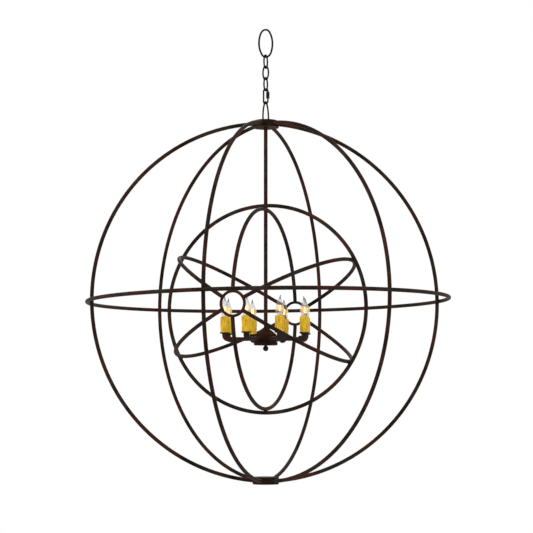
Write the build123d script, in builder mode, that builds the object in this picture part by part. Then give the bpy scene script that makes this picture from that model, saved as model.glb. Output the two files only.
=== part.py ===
from build123d import *
import os
from math import asin, atan2, cos, degrees, pi, radians, sin, sqrt

# Orb chandelier: a cage of six ribs and an equator ring, with a second, smaller orb inside it that lies on
# its side, and eight candle lamps round a hub at the end of a straight rod. It hangs from an oval ring by
# three chain links and a quick link. Millimetres and degrees, +Z up, +X to the right, -Y to the front.
# The origin is the hanging point, under the top of the oval ring.

os.makedirs("parts", exist_ok=True)

# ---------------------------------------------------------------- driving sizes

# Round bar. Its section is drawn as a polygon of the same area, which keeps these long hoops light.
bar_diameter = 12.7
bar_sides = 8
weld_gap = 0.1              # between bars that meet at a weld

# Outer orb
orb_diameter = 1219.2       # over the equator ring
rib_angles = (29.5, 88.6, 149.4, 210.5, 269.7, 328.0)  # round from +X, welded by eye and so a little uneven
rib_center_past_axis = 10.0  # each rib is struck from this far past the axis, so the orb is a little tall
cage_shift = 8.0            # the cage's middle is this far off the rod
cage_shift_toward = 18.2    # in this direction, round from +X
equator_lean = 0.75         # the ring sits this much out of level
equator_lean_toward = -10.0  # and rises in this direction, round from +X

# Inner orb, with its poles in front and behind
inner_orb_diameter = 707.1  # over the band
inner_orb_drop = 26.5       # its centre below the outer orb's
side_rib_angles = (28.0, 147.8, 208.0, 327.8)  # from +X toward +Z
pole_ring_diameter = 88.0
pole_ring_bar = 9.5

# Hub at the top and collar at the bottom of the outer orb
hub_diameter = 89.0
hub_height = 24.0
hub_edge_radius = 7.0
rib_socket_depth = 9.0
collar_diameter = 87.0
collar_height = 23.5
collar_lid_diameter = 89.0
collar_lid_height = 3.0

# Hanging gear
oval_ring_size = (60.0, 100.8)
oval_ring_end_radius = 20.0
oval_ring_wire = 6.35
oval_ring_lean = 4.8        # in its own plane, with its top to the left
chain_turn = -14.0          # the plane of the oval ring, round from +X
link_size = (24.5, 50.3)
link_wire = 5.5
quick_link_size = (22.5, 56.0)
quick_link_wire = 5.5
quick_link_gap = 6.5
quick_link_gap_below_bend = 3.2
sleeve_nut_across_flats = 10.0
sleeve_nut_length = 22.5
sleeve_nut_below_bend = 2.4
sleeve_nut_clearance = 0.3
bail_width = 34.5           # between the middles of its legs
bail_height = 64.5          # from the hub's top to the middle of its crown
bail_crown_radius = 7.5
bail_leg_height = 12.0      # straight part above the hub
bail_wire = 5.5
bail_seat_depth = 8.0
wire_clearance = 0.6        # between the middles' nearest approach and touching

# Rod and lamp hub
rod_diameter = 12.7
rod_bore = 9.5
rod_seat_depth = 14.0
seat_clearance = 0.1
cone_top_drop = 90.0        # below the outer orb's centre
cone_height = 24.0
cone_top_diameter = 17.0
cone_wall = 1.6
lamp_hub_diameter = 72.0
lamp_hub_height = 23.0
lamp_hub_wall = 3.0
lamp_hub_web = 3.0
plate_diameter = 79.5
plate_height = 12.0
plate_chamfer = 2.0
finial_ball_diameter = 18.4
finial_neck_diameter = 10.0
finial_neck_height = 1.5
finial_stud_length = 12.0
ball_steps = 8              # cones that stand for the ball's curve
lock_nut_across_flats = 22.0
lock_nut_height = 5.0

# Arms and candle lamps
lamp_count = 8
first_lamp_angle = 37.0
lamp_radius = 142.7         # from the rod to a candle
arm_diameter = 11.0
arm_bore = 8.0
arm_drop = 128.0            # below the outer orb's centre
arm_inset = 4.0             # how far an arm reaches inside the lamp hub's wall
elbow_diameter = 19.0
elbow_bend_radius = 11.0
elbow_socket_depth = 7.0
nipple_diameter = 9.6
nipple_bore = 7.0
nipple_seat_depth = 4.5     # in the elbow below the dish, and in the lamp holder above it
dish_drop = 112.0           # underside of the drip dish, below the outer orb's centre
dish_diameter = 34.5
dish_height = 2.8
dish_lip = 1.2
cover_diameter = 31.5
cover_bore = 27.0
cover_height = 54.0
holder_diameter = 21.0
holder_bore = 12.6
holder_height = 47.0
holder_well_depth = 23.0
cap_diameter = 12.0
cap_length = 21.0
bulb_diameter = 29.8
bulb_height = 68.0          # above the candle cover
bulb_neck_diameter = 15.0
bulb_belly_height = 27.0    # widest place, above the candle cover
bulb_tip_diameter = 2.4
bulb_taper_power = 1.7      # how fully the glass keeps its width above the belly
bulb_steps = 5              # steps of the curve below the belly, and as many above
bulb_sides = 16             # flats round the glass

# ---------------------------------------------------------------- places worked out from the sizes


def polygon_radius(diameter, sides=bar_sides):
    """Corner radius of the polygon that has the area of a round section."""
    return diameter / 2 * sqrt(2 * pi / (sides * sin(2 * pi / sides)))


def level_plane(z, angle=0.0):
    """Horizontal plane at height z whose x direction points round from +X by angle."""
    return Plane(origin=(0, 0, z), x_dir=(cos(radians(angle)), sin(radians(angle)), 0), z_dir=(0, 0, 1))


def upright_plane(origin, angle):
    """Vertical plane whose x direction points round from +X by angle and whose y direction is up."""
    turn = radians(angle)
    return Plane(origin=origin, x_dir=(cos(turn), sin(turn), 0), z_dir=(sin(turn), -cos(turn), 0))


def side_radius(half_width, half_height, end_radius):
    """Radius of the side arcs of an oval made of four tangent arcs."""
    reach = half_height - end_radius
    return (half_width**2 + reach**2 - end_radius**2) / (2 * (half_width - end_radius))


# Hanging gear, from the hanging point down: each wire's middle lies this far below the one it hangs on
oval_ring_half = ((oval_ring_size[0] - oval_ring_wire) / 2, (oval_ring_size[1] - oval_ring_wire) / 2)
ring_reach = oval_ring_half[1] - oval_ring_end_radius
ring_shift = ring_reach * sin(radians(oval_ring_lean))
ring_rise = ring_reach * cos(radians(oval_ring_lean)) + sqrt(oval_ring_end_radius**2 - ring_shift**2)
oval_ring_center_z = oval_ring_wire / 2 - ring_rise
oval_ring_low_z = oval_ring_center_z - ring_rise
link_half = ((link_size[0] - link_wire) / 2, (link_size[1] - link_wire) / 2)
quick_link_half = ((quick_link_size[0] - quick_link_wire) / 2, (quick_link_size[1] - quick_link_wire) / 2)


def hung_from(low_z, wire_above, wire):
    """Height of a link's crown, when it hangs on a wire whose middle is at low_z."""
    return low_z + (wire_above + wire) / 2 + wire_clearance


link_center_z = []
low_z, wire_above = oval_ring_low_z, oval_ring_wire
for _ in range(3):
    link_center_z.append(hung_from(low_z, wire_above, link_wire) - link_half[1])
    low_z, wire_above = link_center_z[-1] - link_half[1], link_wire
quick_link_center_z = hung_from(low_z, link_wire, quick_link_wire) - quick_link_half[1]
quick_link_low_z = quick_link_center_z - quick_link_half[1]
bail_crown_z = hung_from(quick_link_low_z, quick_link_wire, bail_wire)
hub_top_z = bail_crown_z - bail_height

# Outer orb
equator_radius = orb_diameter / 2 - bar_diameter / 2
rib_reach = equator_radius - bar_diameter - weld_gap
rib_radius = rib_reach + rib_center_past_axis
rib_end_radius = hub_diameter / 2 - rib_socket_depth
rib_mouth_height = sqrt(rib_radius**2 - (hub_diameter / 2 + rib_center_past_axis) ** 2)
orb_z = hub_top_z - hub_height / 2 - rib_mouth_height
hub_bottom_z = hub_top_z - hub_height
collar_top_z = orb_z - rib_mouth_height + collar_height / 2

# Inner orb
inner_z = orb_z - inner_orb_drop
band_radius = inner_orb_diameter / 2 - bar_diameter / 2
inner_rib_radius = band_radius - bar_diameter - weld_gap
inner_rib_end_angle = degrees(pi / 2 - asin((pole_ring_diameter / 2 + weld_gap) / inner_rib_radius))
pole_ring_radius = (pole_ring_diameter - pole_ring_bar) / 2
pole_ring_y = inner_rib_radius * sin(radians(inner_rib_end_angle))
rod_weld_reach = rod_diameter / 2 + weld_gap

# Lamp hub
cone_top_z = orb_z - cone_top_drop
lamp_hub_top_z = cone_top_z - cone_height
plate_top_z = lamp_hub_top_z - lamp_hub_height
plate_bottom_z = plate_top_z - plate_height
rod_top_z = hub_bottom_z + rod_seat_depth
rod_bottom_z = plate_bottom_z + plate_chamfer
finial_ball_z = plate_bottom_z - finial_neck_height - finial_ball_diameter / 2

# Lamps
arm_z = orb_z - arm_drop
dish_z = orb_z - dish_drop
cover_z = dish_z + dish_height
cover_top_z = cover_z + cover_height
lamp_angles = [first_lamp_angle + number * 360 / lamp_count for number in range(lamp_count)]
lamp_places = [
    (lamp_radius * cos(radians(angle)), lamp_radius * sin(radians(angle))) for angle in lamp_angles
]
holder_top_z = cover_z + holder_height
cap_z = holder_top_z - cap_length + seat_clearance


def save(piece, name):
    """Label a finished piece and write it to its own file."""
    piece.part.label = name
    export_step(piece.part, f"parts/{name}.step")


# ---------------------------------------------------------------- bars bent to an arc


def bar_arc(plane, radius, diameter, start, arc, mode=Mode.ADD):
    """Bar bent round the origin of a plane, from the start angle through the arc, both in that plane."""
    turn = radians(start)
    out = plane.x_dir * cos(turn) + plane.y_dir * sin(turn)
    with BuildSketch(Plane(origin=plane.origin, x_dir=out, z_dir=out.cross(plane.z_dir))) as section:
        with Locations((radius, 0)):
            RegularPolygon(polygon_radius(diameter), bar_sides, rotation=180 / bar_sides)
    revolve(section.sketch, axis=Axis(plane.origin, plane.z_dir), revolution_arc=arc, mode=mode)


# ---------------------------------------------------------------- outer orb


def outer_rib_arc(angle, diameter, longer=0, mode=Mode.ADD):
    """Bar of a rib, between its ends in the hub and the collar, or longer by an angle at each end."""
    past = rib_center_past_axis - cage_shift * cos(radians(angle - cage_shift_toward))
    turn = radians(angle)
    struck_from = (-past * cos(turn), -past * sin(turn), orb_z)
    end_angle = degrees(pi / 2 - asin((rib_end_radius + past) / rib_radius)) + longer
    bar_arc(upright_plane(struck_from, angle), rib_radius, diameter, -end_angle, 2 * end_angle, mode)


for number, angle in enumerate(rib_angles, 1):
    with BuildPart() as outer_rib:
        outer_rib_arc(angle, bar_diameter)
    save(outer_rib, f"outer_rib_{number}")

lean, toward = radians(equator_lean), radians(equator_lean_toward)
shift_turn = radians(cage_shift_toward)
equator_plane = Plane(
    origin=(cage_shift * cos(shift_turn), cage_shift * sin(shift_turn), orb_z),
    x_dir=(cos(lean) * cos(toward), cos(lean) * sin(toward), sin(lean)),
    z_dir=(-sin(lean) * cos(toward), -sin(lean) * sin(toward), cos(lean)),
)
with BuildPart() as equator_ring:
    bar_arc(equator_plane, equator_radius, bar_diameter, 0, 360)
save(equator_ring, "equator_ring")


def rib_sockets():
    """Cut the sockets that hold the ribs' ends, in the hub or the collar that is being made."""
    for angle in rib_angles:
        outer_rib_arc(angle, bar_diameter + 2 * weld_gap, longer=1, mode=Mode.SUBTRACT)


with BuildPart() as top_hub:
    with BuildSketch(Plane.XY.offset(hub_bottom_z)):
        Circle(hub_diameter / 2)
    extrude(amount=hub_height)
    fillet(top_hub.edges().group_by(Axis.Z)[-1], hub_edge_radius)
    rib_sockets()
    with BuildSketch(Plane.XY.offset(hub_bottom_z)):
        Circle(rod_diameter / 2 + seat_clearance)
    extrude(amount=rod_seat_depth, mode=Mode.SUBTRACT)
    with BuildSketch(level_plane(hub_top_z, chain_turn + 90)):
        with Locations((-bail_width / 2, 0), (bail_width / 2, 0)):
            Circle(polygon_radius(bail_wire) + seat_clearance)
    extrude(amount=-bail_seat_depth, mode=Mode.SUBTRACT)
save(top_hub, "top_hub")

with BuildPart() as bottom_collar:
    with BuildSketch(Plane.XY.offset(collar_top_z - collar_height)):
        Circle(collar_diameter / 2)
    extrude(amount=collar_height - collar_lid_height)
    with BuildSketch(Plane.XY.offset(collar_top_z - collar_lid_height)):
        Circle(collar_lid_diameter / 2)
    extrude(amount=collar_lid_height)
    rib_sockets()
save(bottom_collar, "bottom_collar")

# ---------------------------------------------------------------- inner orb


def inner_rib_plane(angle):
    """Plane through the front-to-back pole axis and a direction from +X toward +Z."""
    turn = radians(angle)
    out = Vector(cos(turn), 0, sin(turn))
    return Plane(origin=(0, 0, inner_z), x_dir=out, z_dir=out.cross(Vector(0, 1, 0)))


rod_weld_angle = degrees(asin(rod_weld_reach / (inner_rib_radius - bar_diameter / 2)))
with BuildPart() as inner_rib_top:
    for start in (-inner_rib_end_angle, rod_weld_angle):
        bar_arc(inner_rib_plane(90), inner_rib_radius, bar_diameter, start,
                inner_rib_end_angle - rod_weld_angle)
save(inner_rib_top, "inner_rib_top")

with BuildPart() as inner_rib_bottom:
    bar_arc(inner_rib_plane(270), inner_rib_radius, bar_diameter, -inner_rib_end_angle,
            2 * inner_rib_end_angle)
save(inner_rib_bottom, "inner_rib_bottom")

for number, angle in enumerate(side_rib_angles, 1):
    with BuildPart() as inner_rib_side:
        bar_arc(inner_rib_plane(angle), inner_rib_radius, bar_diameter, -inner_rib_end_angle,
                2 * inner_rib_end_angle)
    save(inner_rib_side, f"inner_rib_side_{number}")

band_gap_angle = degrees(asin(rod_weld_reach / (band_radius - bar_diameter / 2)))
with BuildPart() as inner_band:
    bar_arc(upright_plane((0, 0, inner_z), 0), band_radius, bar_diameter, 90 + band_gap_angle,
            360 - 2 * band_gap_angle)
save(inner_band, "inner_band")

for name, side in (("front", -1), ("rear", 1)):
    with BuildPart() as pole_ring:
        bar_arc(upright_plane((0, side * pole_ring_y, inner_z), 0), pole_ring_radius, pole_ring_bar, 0, 360)
    save(pole_ring, f"pole_ring_{name}")

# ---------------------------------------------------------------- hanging gear


def oval_path(half_width, half_height, end_radius):
    """Four tangent arcs round the middle of a wire oval."""
    reach = half_height - end_radius
    side = side_radius(half_width, half_height, end_radius)
    turn = degrees(atan2(reach, side - half_width))
    for sign in (1, -1):
        CenterArc((0, sign * reach), end_radius, turn if sign > 0 else turn + 180, 180 - 2 * turn)
        CenterArc((sign * (half_width - side), 0), side, -turn if sign > 0 else 180 - turn, 2 * turn)


def slot_path(half_width, half_height):
    """Two half circles and two straight sides round the middle of a wire link."""
    straight = half_height - half_width
    CenterArc((0, straight), half_width, 0, 180)
    Line((-half_width, straight), (-half_width, -straight))
    CenterArc((0, -straight), half_width, 180, 180)
    Line((half_width, -straight), (half_width, straight))


def wire_section(plane, half_width, wire):
    """Section of a wire where its path crosses the plane's x direction, looking along the path."""
    across = Plane(origin=plane.from_local_coords((half_width, 0, 0)), x_dir=plane.x_dir, z_dir=plane.y_dir)
    with BuildSketch(across) as section:
        RegularPolygon(polygon_radius(wire), bar_sides, rotation=180 / bar_sides)
    return section.sketch


ring_turn, ring_lean = radians(chain_turn), radians(oval_ring_lean)
ring_plane = Plane(
    origin=(0, 0, oval_ring_center_z),
    x_dir=(cos(ring_lean) * cos(ring_turn), cos(ring_lean) * sin(ring_turn), sin(ring_lean)),
    z_dir=(sin(ring_turn), -cos(ring_turn), 0),
)
with BuildPart() as oval_ring:
    with BuildLine(ring_plane) as oval_ring_line:
        oval_path(*oval_ring_half, oval_ring_end_radius)
    sweep(wire_section(ring_plane, oval_ring_half[0], oval_ring_wire), path=oval_ring_line.wires()[0])
save(oval_ring, "oval_ring")

for number, center_z in enumerate(link_center_z, 1):
    link_plane = upright_plane((0, 0, center_z), chain_turn + 90 * (number % 2))
    with BuildPart() as chain_link:
        with BuildLine(link_plane) as link_line:
            slot_path(*link_half)
        sweep(wire_section(link_plane, link_half[0], link_wire), path=link_line.wires()[0])
    save(chain_link, f"chain_link_{number}")

# The quick link is open on one side, where its threaded ends face each other inside the sleeve nut.
quick_link_straight = quick_link_half[1] - quick_link_half[0]
gap_top = quick_link_straight - quick_link_gap_below_bend
quick_link_plane = upright_plane((0, 0, quick_link_center_z), chain_turn)
with BuildPart() as quick_link:
    with BuildLine(quick_link_plane) as quick_link_line:
        slot_path(*quick_link_half)
    sweep(wire_section(quick_link_plane, quick_link_half[0], quick_link_wire),
          path=quick_link_line.wires()[0])
    with BuildSketch(level_plane(quick_link_center_z + gap_top - quick_link_gap, chain_turn)):
        with Locations((quick_link_half[0], 0)):
            Rectangle(2 * quick_link_wire, 2 * quick_link_wire)
    extrude(amount=quick_link_gap, mode=Mode.SUBTRACT)
save(quick_link, "quick_link")

nut_top = quick_link_straight - sleeve_nut_below_bend
with BuildPart() as sleeve_nut:
    with BuildSketch(level_plane(quick_link_center_z + nut_top, chain_turn)):
        with Locations((quick_link_half[0], 0)):
            RegularPolygon(sleeve_nut_across_flats / 2, 6, major_radius=False, rotation=30)
            Circle(polygon_radius(quick_link_wire) + sleeve_nut_clearance, mode=Mode.SUBTRACT)
    extrude(amount=-sleeve_nut_length)
save(sleeve_nut, "quick_link_nut")

# The bail is half an oval on straight legs that end in the hub's two holes.
bail_half_width = bail_width / 2
bail_reach = bail_height - bail_leg_height - bail_crown_radius
bail_plane = upright_plane((0, 0, hub_top_z + bail_leg_height), chain_turn + 90)
with BuildPart() as bail:
    with BuildLine(bail_plane) as bail_line:
        bail_side = side_radius(bail_half_width, bail_reach + bail_crown_radius, bail_crown_radius)
        bail_turn = degrees(atan2(bail_reach, bail_side - bail_half_width))
        foot = -bail_leg_height - bail_seat_depth + seat_clearance
        Line((bail_half_width, foot), (bail_half_width, 0))
        CenterArc((bail_half_width - bail_side, 0), bail_side, 0, bail_turn)
        CenterArc((0, bail_reach), bail_crown_radius, bail_turn, 180 - 2 * bail_turn)
        CenterArc((bail_side - bail_half_width, 0), bail_side, 180 - bail_turn, bail_turn)
        Line((-bail_half_width, 0), (-bail_half_width, foot))
    foot_plane = Plane(origin=bail_plane.from_local_coords((0, foot, 0)), x_dir=bail_plane.x_dir,
                       z_dir=bail_plane.y_dir)
    with BuildSketch(foot_plane) as bail_section:
        with Locations((bail_half_width, 0)):
            RegularPolygon(polygon_radius(bail_wire), bar_sides, rotation=180 / bar_sides)
    sweep(path=bail_line.wires()[0])
save(bail, "hub_bail")

# ---------------------------------------------------------------- rod and lamp hub

with BuildPart() as down_rod:
    with BuildSketch(Plane.XY.offset(rod_bottom_z)):
        Circle(rod_diameter / 2)
        Circle(rod_bore / 2, mode=Mode.SUBTRACT)
    extrude(amount=rod_top_z - seat_clearance - rod_bottom_z)
save(down_rod, "down_rod")

rod_hole = rod_diameter / 2 + seat_clearance
with BuildPart() as hub_cone:
    with BuildSketch(Plane.XZ):
        with BuildLine():
            foot = lamp_hub_diameter / 2
            Polyline((cone_top_diameter / 2, cone_top_z), (foot, lamp_hub_top_z + cone_wall),
                     (foot, lamp_hub_top_z), (foot - lamp_hub_wall, lamp_hub_top_z),
                     (rod_hole, cone_top_z - cone_wall), (rod_hole, cone_top_z), close=True)
        make_face()
    revolve(axis=Axis.Z)
save(hub_cone, "hub_cone")

with BuildPart() as lamp_hub:
    with BuildSketch(Plane.XY.offset(plate_top_z)):
        Circle(lamp_hub_diameter / 2)
    extrude(amount=lamp_hub_height)
    with BuildSketch(Plane.XY.offset(plate_top_z)):
        Circle(lamp_hub_diameter / 2 - lamp_hub_wall)
    extrude(amount=lamp_hub_height - lamp_hub_web, mode=Mode.SUBTRACT)
    with BuildSketch(Plane.XY.offset(lamp_hub_top_z)):
        Circle(rod_hole)
    extrude(amount=-lamp_hub_web, mode=Mode.SUBTRACT)
    for angle in lamp_angles:
        out = (cos(radians(angle)), sin(radians(angle)), 0)
        with BuildSketch(Plane(origin=(0, 0, arm_z), z_dir=out)):
            Circle(arm_diameter / 2 + seat_clearance)
        extrude(amount=lamp_hub_diameter, mode=Mode.SUBTRACT)
save(lamp_hub, "lamp_hub")

with BuildPart() as hub_plate:
    with BuildSketch(Plane.XZ):
        with BuildLine():
            rim = plate_diameter / 2
            Polyline((rod_hole, plate_top_z), (rim, plate_top_z), (rim, plate_bottom_z + plate_chamfer),
                     (rim - plate_chamfer, plate_bottom_z), (rod_hole, plate_bottom_z), close=True)
        make_face()
    revolve(axis=Axis.Z)
save(hub_plate, "hub_plate")

with BuildPart() as lock_nuts:
    lower_nut_z = lamp_hub_top_z - lamp_hub_web - seat_clearance - lock_nut_height
    for bottom in (lower_nut_z, lamp_hub_top_z + seat_clearance):
        with BuildSketch(Plane.XY.offset(bottom)):
            RegularPolygon(lock_nut_across_flats / 2, 6, major_radius=False)
            Circle(rod_hole, mode=Mode.SUBTRACT)
        extrude(amount=lock_nut_height)
save(lock_nuts, "lock_nuts")

stud_radius = rod_bore / 2 - seat_clearance
stud_top_z = rod_bottom_z + finial_stud_length
neck_top_z = plate_bottom_z - seat_clearance
ball_radius = finial_ball_diameter / 2
neck_angle = degrees(asin(finial_neck_diameter / finial_ball_diameter))
with BuildPart() as finial:
    with BuildSketch(Plane.XZ):
        with BuildLine():
            turns = [radians(step * (180 - neck_angle) / ball_steps) for step in range(ball_steps + 1)]
            ball = [(ball_radius * sin(turn), finial_ball_z - ball_radius * cos(turn)) for turn in turns]
            Polyline(*ball, (finial_neck_diameter / 2, neck_top_z), (stud_radius, neck_top_z),
                     (stud_radius, stud_top_z), (0, stud_top_z), close=True)
        make_face()
    revolve(axis=Axis.Z)
save(finial, "finial")

# ---------------------------------------------------------------- arms and candle lamps


def lamp_plane(z, angle):
    """Horizontal plane at a lamp, with x pointing away from the rod."""
    turn = radians(angle)
    return Plane(origin=(lamp_radius * cos(turn), lamp_radius * sin(turn), z),
                 x_dir=(cos(turn), sin(turn), 0), z_dir=(0, 0, 1))


arm_start = lamp_hub_diameter / 2 - lamp_hub_wall - arm_inset
for number, angle in enumerate(lamp_angles, 1):
    out = (cos(radians(angle)), sin(radians(angle)), 0)
    with BuildPart() as arm:
        with BuildSketch(Plane(origin=(0, 0, arm_z), z_dir=out).offset(arm_start)):
            Circle(arm_diameter / 2)
            Circle(arm_bore / 2, mode=Mode.SUBTRACT)
        extrude(amount=lamp_radius - elbow_bend_radius - seat_clearance - arm_start)
    save(arm, f"arm_{number}")

bend_top_z = arm_z + elbow_bend_radius
nipple_hole = nipple_diameter / 2 + seat_clearance
with BuildPart() as arm_elbows:
    for angle, (lamp_x, lamp_y) in zip(lamp_angles, lamp_places):
        upright = upright_plane((lamp_x, lamp_y, arm_z), angle)
        bend_start = upright.from_local_coords((-elbow_bend_radius, 0, 0))
        bend_center = upright.from_local_coords((-elbow_bend_radius, elbow_bend_radius, 0))
        bend_mouth = Plane(origin=bend_start, x_dir=upright.z_dir, z_dir=upright.x_dir)
        with BuildSketch(bend_mouth) as mouth:
            RegularPolygon(polygon_radius(elbow_diameter), bar_sides, rotation=180 / bar_sides)
        with BuildSketch(bend_mouth) as socket:
            Circle(arm_diameter / 2 + seat_clearance)
        bend_axis = Axis(bend_center, upright.z_dir)
        extrude(mouth.sketch, amount=-elbow_socket_depth)
        revolve(mouth.sketch, axis=bend_axis, revolution_arc=90)
        with BuildSketch(lamp_plane(bend_top_z, angle)):
            RegularPolygon(polygon_radius(elbow_diameter), bar_sides, rotation=180 / bar_sides)
        extrude(amount=dish_z - bend_top_z)
        extrude(socket.sketch, amount=-elbow_socket_depth, mode=Mode.SUBTRACT)
        with BuildSketch(lamp_plane(dish_z, angle)):
            Circle(nipple_hole)
        extrude(amount=bend_top_z - dish_z, mode=Mode.SUBTRACT)
save(arm_elbows, "arm_elbows")

with BuildPart() as lamp_nipples:
    for x, y in lamp_places:
        with BuildSketch(Plane.XY.offset(dish_z - nipple_seat_depth)):
            with Locations((x, y)):
                Circle(nipple_diameter / 2)
                Circle(nipple_bore / 2, mode=Mode.SUBTRACT)
        extrude(amount=dish_height + 2 * nipple_seat_depth)
save(lamp_nipples, "lamp_nipples")

with BuildPart() as drip_dishes:
    with BuildSketch(Plane.XZ):
        with BuildLine():
            Polyline((nipple_hole, dish_z), (dish_diameter / 2 - dish_height, dish_z),
                     (dish_diameter / 2, cover_z), (dish_diameter / 2, cover_z + dish_lip),
                     (cover_diameter / 2 + seat_clearance, cover_z + dish_lip),
                     (cover_diameter / 2 + seat_clearance, cover_z), (nipple_hole, cover_z), close=True)
        make_face()
    dish = revolve(axis=Axis.Z, mode=Mode.PRIVATE)
    with Locations(*[(x, y, 0) for x, y in lamp_places]):
        add(dish)
save(drip_dishes, "drip_dishes")

upward = (Align.CENTER, Align.CENTER, Align.MIN)
with BuildPart() as lamp_holders:
    for x, y in lamp_places:
        with Locations((x, y, cover_z)):
            Cylinder(holder_diameter / 2, holder_height, align=upward)
            Cylinder(nipple_hole, holder_height, align=upward, mode=Mode.SUBTRACT)
        with Locations((x, y, holder_top_z - holder_well_depth)):
            Cylinder(holder_bore / 2, holder_well_depth, align=upward, mode=Mode.SUBTRACT)
save(lamp_holders, "lamp_holders")

with BuildPart() as candle_covers:
    for x, y in lamp_places:
        with Locations((x, y, cover_z)):
            Cylinder(cover_diameter / 2, cover_height, align=upward)
            Cylinder(cover_bore / 2, cover_height, align=upward, mode=Mode.SUBTRACT)
save(candle_covers, "candle_covers")

for number, (x, y) in enumerate(lamp_places, 1):
    with BuildPart() as lamp_cap:
        with Locations((x, y, cap_z)):
            Cylinder(cap_diameter / 2, cap_length, align=upward)
    save(lamp_cap, f"bulb_cap_{number}")

# The glass is a flame: it swells from the cap to a belly above the cover and runs out in a long tip.
glass_foot_z = cap_z + cap_length
belly_z = cover_top_z + bulb_belly_height
bulb_top_z = cover_top_z + bulb_height
swell = bulb_diameter - bulb_neck_diameter
taper = bulb_diameter - bulb_tip_diameter
shares = [step / bulb_steps for step in range(bulb_steps + 1)]
glass_levels = [
    (bulb_neck_diameter + swell * sin(share * pi / 2), glass_foot_z + share * (belly_z - glass_foot_z))
    for share in shares[:-1]
] + [
    (bulb_diameter - taper * share**bulb_taper_power, belly_z + share * (bulb_top_z - belly_z))
    for share in shares
]
flat_reach = polygon_radius(1, bulb_sides) * cos(pi / bulb_sides)
with BuildPart() as glass:
    for (low_diameter, low), (high_diameter, high) in zip(glass_levels, glass_levels[1:]):
        lean_in = degrees(atan2((low_diameter - high_diameter) * flat_reach, high - low))
        with BuildSketch(Plane.XY.offset(low)):
            RegularPolygon(polygon_radius(low_diameter, bulb_sides), bulb_sides)
        extrude(amount=high - low, taper=lean_in)
for number, (x, y) in enumerate(lamp_places, 1):
    with BuildPart() as bulb:
        with Locations((x, y, 0)):
            add(glass.part)
    save(bulb, f"bulb_{number}")
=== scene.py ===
# %% [markdown]
# # An orb chandelier
# A cage of bent round bar hangs from a short chain, with a smaller cage lying on its side inside it and
# eight candle lamps at its heart. The CAD model gives every place and size. Its long hoops are drawn
# there with an eight-sided section to keep them light, so the first job here is to bend truly round bar
# over the same lines. What is already right, such as the hubs, the rod and the arms, stays and only gets
# its finish.

# %% Load the frame
import random
from math import asin, atan2, ceil, cos, degrees, pi, radians, sin, sqrt, tan

import bpy
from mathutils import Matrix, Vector, noise


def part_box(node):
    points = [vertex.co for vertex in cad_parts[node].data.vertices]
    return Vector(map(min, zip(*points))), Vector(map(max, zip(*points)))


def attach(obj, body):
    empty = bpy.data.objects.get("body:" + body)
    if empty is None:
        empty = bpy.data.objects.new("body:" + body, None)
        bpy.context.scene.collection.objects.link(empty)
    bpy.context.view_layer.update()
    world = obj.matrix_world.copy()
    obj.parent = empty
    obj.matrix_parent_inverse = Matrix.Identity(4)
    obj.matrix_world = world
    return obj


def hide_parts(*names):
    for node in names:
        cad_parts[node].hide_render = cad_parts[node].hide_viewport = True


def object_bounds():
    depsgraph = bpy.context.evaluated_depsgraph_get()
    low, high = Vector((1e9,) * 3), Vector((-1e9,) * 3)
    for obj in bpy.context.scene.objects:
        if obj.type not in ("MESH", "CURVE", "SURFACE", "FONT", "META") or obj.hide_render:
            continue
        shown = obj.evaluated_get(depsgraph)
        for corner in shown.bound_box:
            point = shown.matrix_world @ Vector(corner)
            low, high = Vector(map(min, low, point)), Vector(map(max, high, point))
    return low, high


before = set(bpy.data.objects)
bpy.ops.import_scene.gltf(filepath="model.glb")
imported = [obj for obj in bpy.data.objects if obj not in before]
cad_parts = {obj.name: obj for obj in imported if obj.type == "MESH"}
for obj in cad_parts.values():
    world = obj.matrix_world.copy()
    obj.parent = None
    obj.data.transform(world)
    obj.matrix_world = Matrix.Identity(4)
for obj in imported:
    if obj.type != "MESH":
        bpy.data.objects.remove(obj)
cad_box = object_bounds()

# %% [markdown]
# ## Sizes
# Everything is in metres here. Heights are read from the frame, so they can't drift from the CAD model.
# What a box can't tell, such as a bend's radius or the direction that a rib faces, is written as a real
# size.

# %% Sizes and heights
MM = 0.001
BAR = 12.7 * MM
POLE_BAR = 9.5 * MM
RING_WIRE = 6.35 * MM
WIRE = 5.5 * MM
WELD_GAP = 0.1 * MM


def middle_z(node):
    """Height of the middle of a CAD node."""
    low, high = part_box(node)
    return (low[2] + high[2]) / 2


orb_z = middle_z("equator_ring")
inner_z = middle_z("pole_ring_front")
hub_top_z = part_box("top_hub")[1][2]
print("orb centre", round(orb_z, 4), "inner orb centre", round(inner_z, 4))

# %% [markdown]
# ## Camera
# The photograph was taken from about five metres with a long lens, a little below the orb's middle and
# tilted up. That is read off the picture: the equator ring opens downward, so its near side is the higher
# one.

# %% Camera
CAMERA_AZIMUTH = radians(288.32)
CAMERA_DISTANCE = 5.339
CAMERA_BELOW_ORB = 0.310
CAMERA_HEADING = CAMERA_AZIMUTH + pi - radians(0.029)
CAMERA_PITCH = radians(4.556)
FOCAL_PIXELS = 1595.0
PHOTO_PIXELS = 533
SENSOR = 36.0

camera_data = bpy.data.cameras.new("camera")
camera_data.sensor_width = SENSOR
camera_data.lens = FOCAL_PIXELS / PHOTO_PIXELS * SENSOR
camera = bpy.data.objects.new("camera", camera_data)
bpy.context.collection.objects.link(camera)
camera.location = (CAMERA_DISTANCE * cos(CAMERA_AZIMUTH), CAMERA_DISTANCE * sin(CAMERA_AZIMUTH),
                   orb_z - CAMERA_BELOW_ORB)
look = Vector((cos(CAMERA_HEADING) * cos(CAMERA_PITCH), sin(CAMERA_HEADING) * cos(CAMERA_PITCH),
               sin(CAMERA_PITCH)))
camera.rotation_mode = "QUATERNION"
camera.rotation_quaternion = look.to_track_quat("-Z", "Y")
bpy.context.scene.camera = camera
print("camera lens", round(camera_data.lens, 1), "mm on a", SENSOR, "mm sensor")

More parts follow.
